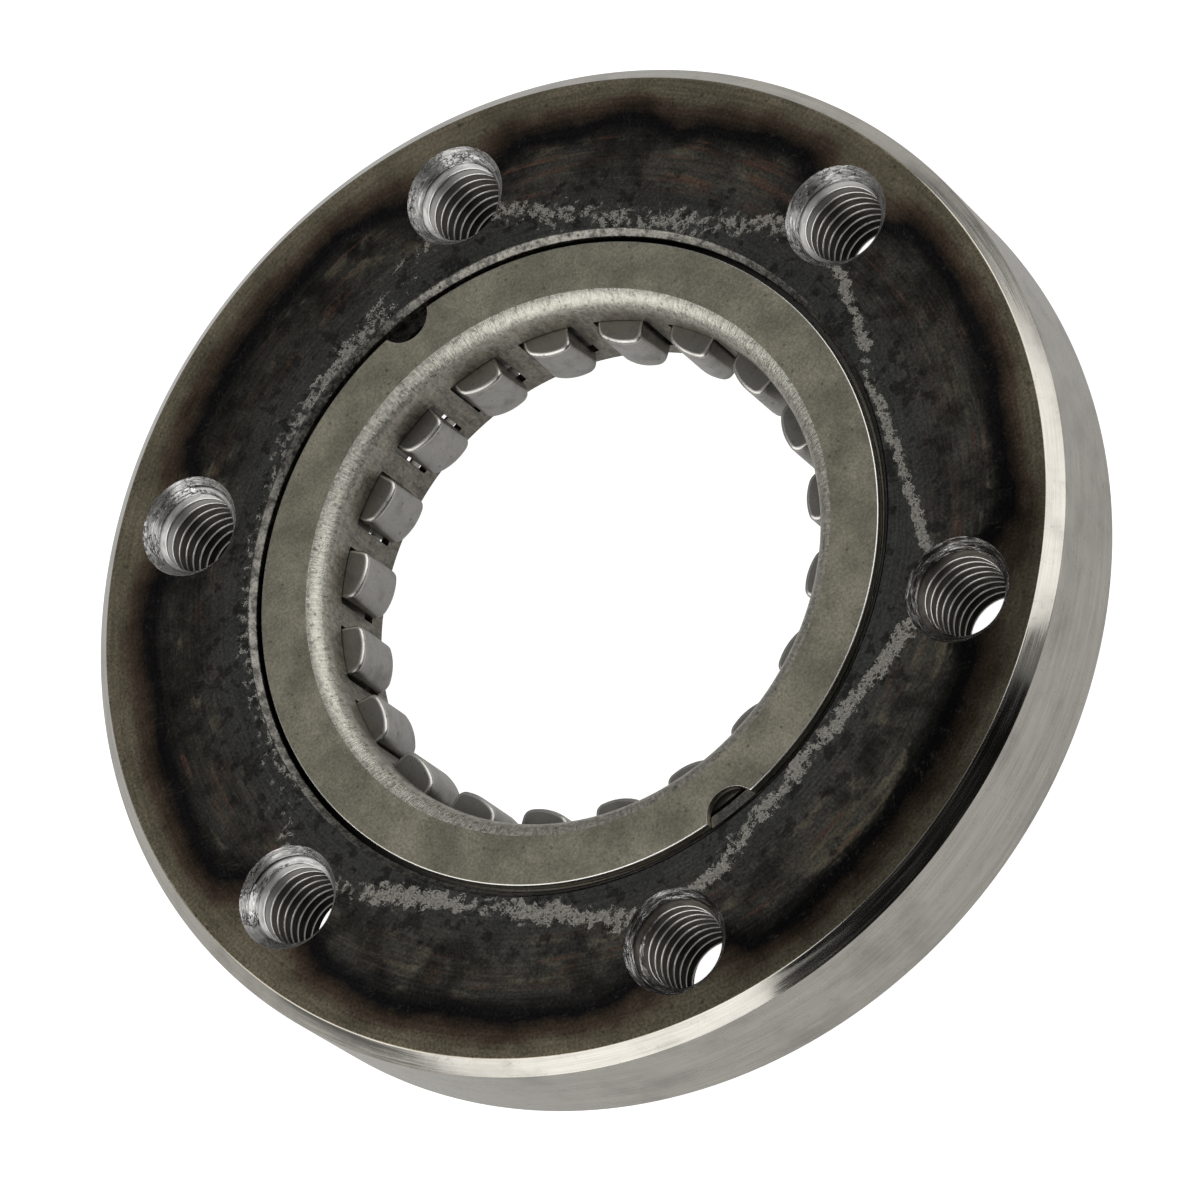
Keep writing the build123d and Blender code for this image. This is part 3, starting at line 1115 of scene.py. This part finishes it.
def ring_zone(ring, thread):
    """The finish of each face of the ring, by its place and direction."""
    face_height = RING_TOP.z
    face_edge = RING_TOP.x - ring.front_chamfer
    seat = face_height - ring.counterbore_depth
    counterbore_edge = ring.counterbore_radius + ring.counterbore_edge + ring.rim_rounding
    near = 0.03 * MM
    nearly_level = 0.86

    def zone(face):
        middle = face.center
        radius = math.hypot(middle.x, middle.y)
        depth = face_height - middle.z
        if depth < near / 3 and face.normal.z > LEVEL:
            return "front"
        from_axis = hole_distance(middle)
        if from_axis < thread.mouth_radius and middle.z > near:
            on_cone = abs(from_axis + depth * math.tan(thread.mouth_angle / 2) - thread.mouth_radius) < near
            return "mouth" if on_cone else "thread"
        if radius < counterbore_edge and middle.z > seat - near:
            return "counterbore"
        if abs(radius - face_edge) < ring.rim_rounding and face.normal.z > nearly_level:
            return "front"
        if radius > RING_TOP.x - near:
            return "rim"
        if radius > face_edge - near and middle.z > face_height / 2:
            return "chamfer"
        return "ground"

    return zone


class CLUTCH_OT_outer_ring(bpy.types.Operator):
    """Turns the outer ring, opens its bolt holes and cuts their threads"""

    bl_idname = "clutch.outer_ring"
    bl_label = "Outer Ring"

    def execute(self, context):
        ring = ring_blank(context.scene.clutch_ring)
        sizes = context.scene.clutch_thread
        cut_away(ring, joined_round(at_first_hole(thread_mouth_cutter(sizes)), BOLT_COUNT))
        cut_away(ring, joined_round(at_first_hole(tap(sizes)), BOLT_COUNT))
        smooth(ring, widest=24)
        colours = context.scene.clutch_colours
        pattern = context.scene.clutch_heat
        machined, race, grime_and_shade = colours.machined, colours.race, colours.grime_and_shade
        finishes = {
            "front": front_face_steel(colours, pattern),
            "rim": machined_steel("rim_steel", machined, grime_and_shade, rough=0.3, spacing=0.3, depth=0.006),
            "chamfer": machined_steel("chamfer_steel", machined, grime_and_shade, rough=0.15, spacing=0.2, depth=0.001),
            "counterbore": pitted_edge_steel(colours, pattern),
            "mouth": hole_mouth_steel(colours, pattern),
            "thread": thread_steel(colours, pattern),
            "ground": machined_steel("ground_steel", race, grime_and_shade, rough=0.24, spacing=0.15, depth=0.004),
        }
        give_slots(ring, finishes, ring_zone(context.scene.clutch_ring, sizes))
        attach(ring, "outer_ring")
        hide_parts("outer_ring")
        return {"FINISHED"}


# Inner cage


def window_cutter(sizes):
    """A block the size of one window, rounded in its corners, across the cage wall."""
    low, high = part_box(SPRAG_NODES[0])
    middle = (low + high) / 2
    across = sizes.wall_radius + sizes.sheet / 2
    deselect_all()
    bpy.ops.mesh.primitive_cube_add(size=1, location=(across, 0, middle.z))
    bpy.context.object.scale = (4 * sizes.sheet, sizes.window_width, sizes.window_height)
    block = name_active("window_cutter")
    edit(block, "EDGE")
    select_in_edit_mode(
        block, lambda edge: abs(edge.verts[0].co.x - edge.verts[1].co.x) > sizes.sheet, element="edges"
    )
    bpy.ops.mesh.bevel(offset=sizes.window_corner, segments=3, affect="EDGES")
    finish_edit()
    make_active(block)
    block.rotation_euler.z = -math.atan(sizes.window_lean / (sizes.wall_radius + sizes.sheet))
    apply_place()
    return block


def notch_cutter(sizes):
    """A round post where the first notch is."""
    reach = CAGE_TOP.x - sizes.notch_depth + sizes.notch_radius
    height = CAGE_TOP.z - sizes.sheet / 2
    place = (reach * math.cos(sizes.notch_angle), reach * math.sin(sizes.notch_angle), height)
    deselect_all()
    bpy.ops.mesh.primitive_cylinder_add(
        vertices=64, radius=sizes.notch_radius, depth=3 * sizes.sheet, location=place
    )
    return name_active("notch_cutter")


def shoulder_arc(sizes, top):
    """The shoulder's section from the flange down to the wall. The flat flange cuts its top off."""
    bend = sizes.shoulder
    start = math.acos(1 - sizes.flat_cut / bend)
    steps = 11
    turns = [start + (math.pi / 2 - start) * step / steps for step in range(steps + 1)]
    return [
        (sizes.wall_radius + bend - bend * math.sin(turn), top + sizes.flat_cut - bend + bend * math.cos(turn))
        for turn in turns
    ]


def cage_zone(sizes):
    """The finish of each face of the inner cage, by its place and direction."""
    inner = sizes.wall_radius
    outer = inner + sizes.sheet
    window_top = CAGE_TOP.z - sizes.shoulder - sizes.sheet
    on_flange, upward = 0.98, 0.1

    def zone(face):
        radius = math.hypot(face.center.x, face.center.y)
        if face.normal.z > on_flange:
            return "flange"
        if radius > outer + sizes.under_bend:
            return "rim" if face.normal.z > upward else "flange"
        through = inner + sizes.edge_rounding < radius < outer - sizes.edge_rounding
        if through and abs(face.normal.z) < LEVEL and face.center.z < window_top:
            return "edge"
        return "wall"

    return zone


class CLUTCH_OT_inner_cage(bpy.types.Operator):
    """Draws the inner cage with its flange and shoulder, and pierces its windows and notches"""

    bl_idname = "clutch.inner_cage"
    bl_label = "Inner Cage"

    def execute(self, context):
        sizes = context.scene.clutch_cage
        inner = sizes.wall_radius
        outer = inner + sizes.sheet
        flange_radius = CAGE_TOP.x
        face = CAGE_TOP.z
        corners = [
            (inner, CAGE_FOOT.z),
            (outer, CAGE_FOOT.z),
            (outer, face - sizes.sheet),
            (flange_radius, face - sizes.sheet),
            (flange_radius, face),
            *shoulder_arc(sizes, face),
        ]
        cage = turned_piece("drawn_cage", corners, sizes.turning_steps)
        round_corner(cage, outer, face - sizes.sheet, sizes.under_bend, segments=4)
        round_corner(cage, flange_radius, face, sizes.rim_rounding, segments=4)
        cut_away(cage, joined_round(notch_cutter(sizes), sizes.notch_count))
        cut_away(cage, joined_round(window_cutter(sizes), len(SPRAG_NODES)))
        apply_modifier(
            cage,
            "BEVEL",
            width=sizes.edge_rounding,
            segments=2,
            limit_method="ANGLE",
            angle_limit=math.radians(50),
        )
        smooth(cage, widest=35, crease=shoulder_arc(sizes, face)[0])
        colours = context.scene.clutch_colours
        rubbed, worn = colours.rubbed, colours.worn
        finishes = {
            "flange": flange_steel(colours),
            "wall": drawn_steel(colours),
            "edge": strip_steel("pierced_edge_steel", colours.grime_and_shade, colours.drawn, rough=0.4),
            "rim": machined_steel("rubbed_rim_steel", rubbed, worn, rough=0.34, spacing=0.3, depth=0.003),
        }
        give_slots(cage, finishes, cage_zone(sizes))
        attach(cage, "inner_cage")
        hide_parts("inner_cage")
        return {"FINISHED"}


# Sprags


def is_sharp(edge, angle):
    """Whether an edge joins two faces that meet at more than the angle in degrees."""
    return edge.is_manifold and edge.calc_face_angle() > math.radians(angle)


def long_corner(sizes):
    """A test for long edges at the tip between two faces that meet at a clear angle."""
    def test(edge):
        start, end = (vertex.co for vertex in edge.verts)
        upright = abs(start.z - end.z) > sizes.end_rounding
        return upright and start.x < sizes.tip_reach and is_sharp(edge, angle=20)
    return test


def end_rim(sizes):
    """A test for edges round a flat end, on the part that shows in the window."""
    slope = 0.001 * MM

    def test(edge):
        start, end = (vertex.co for vertex in edge.verts)
        level = abs(start.z - end.z) < slope
        return level and max(start.x, end.x) < sizes.tip_reach and is_sharp(edge, angle=60)
    return test


class CLUTCH_OT_sprags(bpy.types.Operator):
    """Rounds the edges of one sprag as tumbling does, and sets its copies in all the windows"""

    bl_idname = "clutch.sprags"
    bl_label = "Sprags"

    def execute(self, context):
        sizes = context.scene.clutch_sprag
        pattern = own_copy(frame["nodes"][SPRAG_NODES[0]], "tumbled_sprag")
        pattern.parent = None
        pattern.rotation_mode = "XYZ"
        edit(pattern)
        bpy.ops.mesh.remove_doubles(threshold=MERGE)
        bpy.ops.mesh.dissolve_limited(angle_limit=math.radians(1))
        finish_edit()
        colours = context.scene.clutch_colours
        finishes = {
            "cam": sprag_steel("sprag_cam_steel", colours.sprag_cam, colours, rough=0.3),
            "end": sprag_steel("sprag_end_steel", colours.sprag_end, colours, rough=0.38),
            # The rounded edges get the brighter colour, partly as a painted highlight
            "edge": sprag_steel("sprag_edge_steel", colours.sprag_edge, colours, rough=0.32),
        }
        give_slots(pattern, finishes, lambda face: "end" if abs(face.normal.z) > LEVEL else "cam")

        edit(pattern, "EDGE")
        select_in_edit_mode(pattern, long_corner(sizes), element="edges")
        bpy.ops.mesh.bevel(offset=sizes.corner_rounding, segments=4, affect="EDGES", clamp_overlap=True)
        # Merges the points that the rounding has brought close together
        bpy.ops.mesh.select_all(action="SELECT")
        bpy.ops.mesh.remove_doubles(threshold=0.02 * MM)
        select_in_edit_mode(pattern, end_rim(sizes), element="edges")
        bpy.ops.mesh.bevel(
            offset=sizes.end_rounding,
            segments=5,
            affect="EDGES",
            clamp_overlap=False,
            material=list(finishes).index("edge"),
        )
        finish_edit()
        smooth(pattern, widest=40)
        for number, node in enumerate(SPRAG_NODES):
            sprag = turned_copy(pattern, f"tumbled_{node}", math.tau * number / len(SPRAG_NODES))
            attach(sprag, node)
            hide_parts(node)
        bpy.data.meshes.remove(pattern.data)
        return {"FINISHED"}


class CLUTCH_OT_hidden_parts(bpy.types.Operator):
    """Finishes the outer cage and the ribbon spring, which keep the shape that the frame gives them"""

    bl_idname = "clutch.hidden_parts"
    bl_label = "Outer Cage and Spring"

    def execute(self, context):
        colours = context.scene.clutch_colours
        shaded_race = scaled(colours.race, 0.4)
        finishes = {
            "outer_cage": strip_steel("outer_cage_steel", shaded_race, colours.grime_and_shade, rough=0.42),
            "ribbon_spring": strip_steel("spring_steel", colours.spring, colours.grime_and_shade, rough=0.25),
        }
        for node, material in finishes.items():
            piece = frame["nodes"][node]
            piece.data.materials.clear()
            piece.data.materials.append(material)
        return {"FINISHED"}


# Stage


def from_sky(azimuth, elevation, distance):
    """A point at a direction over the clutch: azimuth counter-clockwise from +X, elevation above the floor."""
    level = math.cos(elevation)
    return distance * Vector((level * math.cos(azimuth), level * math.sin(azimuth), math.sin(elevation)))


def facing(direction):
    """The turn that points the front of a light, a card or a camera in the direction."""
    return direction.to_track_quat("-Z", "Y")


def width_seen(angle, distance):
    """How wide a thing has to be to cover the angle from the distance."""
    return 2 * distance * math.tan(angle / 2)


def hang_soft_box(name, box, distance):
    """A soft box that faces the clutch, as wide and high as its angles say, and as bright as its glow."""
    deselect_all()
    place = from_sky(box.azimuth, box.elevation, distance)
    bpy.ops.object.light_add(type="AREA", location=place)
    light = bpy.context.object
    light.name = name
    light.visible_camera = False
    light.rotation_euler = facing(-place).to_euler()
    light.data.shape = "RECTANGLE"
    light.data.size = width_seen(box.width, distance)
    light.data.size_y = width_seen(box.height, distance)
    light.data.energy = math.pi * light.data.size * light.data.size_y * box.glow


def stand_dark_card(card_place, distance):
    """A black card that only shows in reflections, in front of the clutch where the photographer stands."""
    middle = from_sky(card_place.azimuth, card_place.elevation, distance)
    deselect_all()
    bpy.ops.mesh.primitive_plane_add(size=1, location=middle)
    card = bpy.context.object
    card.scale = (width_seen(card_place.width, distance), width_seen(card_place.height, distance), 1)
    card.rotation_euler = facing(-middle).to_euler()
    card = name_active("dark_card")
    card.visible_camera = False
    black, tree, shader = new_material("black_card")
    shader.inputs["Roughness"].default_value = 0.9
    fibres = outputs_of(tree, "ShaderNodeTexCoord")["Object"]
    felt = ease(noise(fibres, 60.0), *MIDDLE, 0.003, 0.006)
    grey(felt).feed(shader.inputs["Base Color"])
    card.data.materials.append(black)


def seen_or_lighting(tree, glow):
    """A strength of 1 where the camera looks straight at it, and of the glow in reflections and light."""
    return ease(outputs_of(tree, "ShaderNodeLightPath")["Is Camera Ray"], 0.0, 1.0, glow, 1.0)


def glowing_paper(glow):
    """White paper lit from below, dimmer in reflections. Seen from underneath it lets the view through."""
    paper, tree, shader = new_material("lit_paper")
    shader.inputs["Base Color"].default_value = rgba((0.4, 0.4, 0.4))
    shader.inputs["Roughness"].default_value = 0.9
    seen_or_lighting(tree, glow).feed(shader.inputs["Emission Strength"])
    fibres = outputs_of(tree, "ShaderNodeTexCoord")["Object"]
    tint = ease(noise(fibres, 900.0), *MIDDLE, 0.985, 1.0)
    dimmed((1, 1, 1), tint).feed(shader.inputs["Emission Color"])
    below = outputs_of(tree, "ShaderNodeNewGeometry")["Backfacing"]
    clear = add_node(tree, "ShaderNodeBsdfTransparent").outputs[0]
    inputs = {0: below, 1: Field(tree, shader.outputs[0]), 2: Field(tree, clear)}
    new_field("ShaderNodeMixShader", 0, inputs).feed(tree.nodes["Material Output"].inputs["Surface"])
    return paper


def studio_world(glow):
    """An even dim room for the reflections, which the camera sees as white."""
    world = bpy.data.worlds.new("studio")
    world.use_nodes = True
    background = world.node_tree.nodes["Background"]
    background.inputs["Color"].default_value = rgba((1, 1, 1))
    seen_or_lighting(world.node_tree, glow).feed(background.inputs["Strength"])
    return world


def set_camera(place):
    """A camera that looks at the target from its place, rolled about its line of sight."""
    level = math.cos(place.elevation)
    side = math.sin(place.azimuth) * level
    front = math.cos(place.azimuth) * level
    back = Vector((side, -front, math.sin(place.elevation)))
    bpy.ops.object.camera_add(location=Vector(place.target) + back * place.distance)
    camera = bpy.context.object
    camera.rotation_euler = (facing(-back).to_matrix() @ Matrix.Rotation(-place.roll, 3, "Z")).to_euler()
    camera.data.lens = place.lens
    camera.data.sensor_width = 36
    camera.data.clip_start = 0.01
    return camera


class CLUTCH_OT_stage(bpy.types.Operator):
    """Lays the pale floor, hangs the soft boxes and sets the camera where the photograph was taken"""

    bl_idname = "clutch.stage"
    bl_label = "Stage"

    def execute(self, context):
        scene = context.scene
        light = scene.clutch_light
        deselect_all()
        bpy.ops.mesh.primitive_plane_add(size=light.floor_size, location=(0, 0, -light.floor_drop))
        floor = name_active("floor")
        floor.data.materials.append(glowing_paper(light.floor_glow))
        scene.world = studio_world(light.room_glow)
        hang_soft_box("right_soft_box", scene.clutch_right_box, light.box_distance)
        hang_soft_box("left_soft_box", scene.clutch_left_box, light.box_distance)
        stand_dark_card(scene.clutch_dark_card, light.card_distance)
        scene.camera = set_camera(scene.clutch_camera)
        scene.view_settings.view_transform = "Standard"
        return {"FINISHED"}


class CLUTCH_PT_looks(bpy.types.Panel):
    """Lists the pieces of the clutch and their sizes"""

    bl_idname = "CLUTCH_PT_looks"
    bl_label = "Sprag Clutch"
    bl_space_type = "VIEW_3D"
    bl_region_type = "UI"
    bl_category = "Sprag Clutch"

    def draw(self, context):
        layout = self.layout
        for operator in OPERATORS:
            layout.operator(operator.bl_idname)
        for name in SIZE_GROUPS:
            box = layout.box()
            box.label(text=name.replace("clutch_", "").title())
            group = getattr(context.scene, name)
            for field in type(group).__annotations__:
                box.prop(group, field)


SIZE_GROUPS = {
    "clutch_ring": RingSizes,
    "clutch_thread": ThreadSizes,
    "clutch_cage": CageSizes,
    "clutch_sprag": SpragSizes,
    "clutch_colours": FinishColours,
    "clutch_heat": HeatPattern,
    "clutch_light": StudioLight,
    "clutch_right_box": SoftBox,
    "clutch_left_box": SoftBox,
    "clutch_dark_card": SoftBox,
    "clutch_camera": CameraPlace,
}
OPERATORS = [
    CLUTCH_OT_outer_ring,
    CLUTCH_OT_inner_cage,
    CLUTCH_OT_sprags,
    CLUTCH_OT_hidden_parts,
    CLUTCH_OT_stage,
]


def register():
    for group in dict.fromkeys(SIZE_GROUPS.values()):
        bpy.utils.register_class(group)
    for name, group in SIZE_GROUPS.items():
        setattr(bpy.types.Scene, name, PointerProperty(type=group))
    for cls in [*OPERATORS, CLUTCH_PT_looks]:
        bpy.utils.register_class(cls)


def unregister():
    for cls in reversed([*OPERATORS, CLUTCH_PT_looks]):
        bpy.utils.unregister_class(cls)
    for name in SIZE_GROUPS:
        delattr(bpy.types.Scene, name)
    for group in dict.fromkeys(SIZE_GROUPS.values()):
        bpy.utils.unregister_class(group)


def main():
    register()
    for name, (azimuth, elevation, width, height, glow) in SOFT_BOXES.items():
        box = getattr(bpy.context.scene, name)
        box.azimuth, box.elevation = math.radians(azimuth), math.radians(elevation)
        box.width, box.height = math.radians(width), math.radians(height)
        box.glow = glow
    bpy.ops.clutch.outer_ring()
    bpy.ops.clutch.inner_cage()
    bpy.ops.clutch.sprags()
    bpy.ops.clutch.hidden_parts()
    bpy.ops.clutch.stage()


if __name__ == "__main__":
    main()
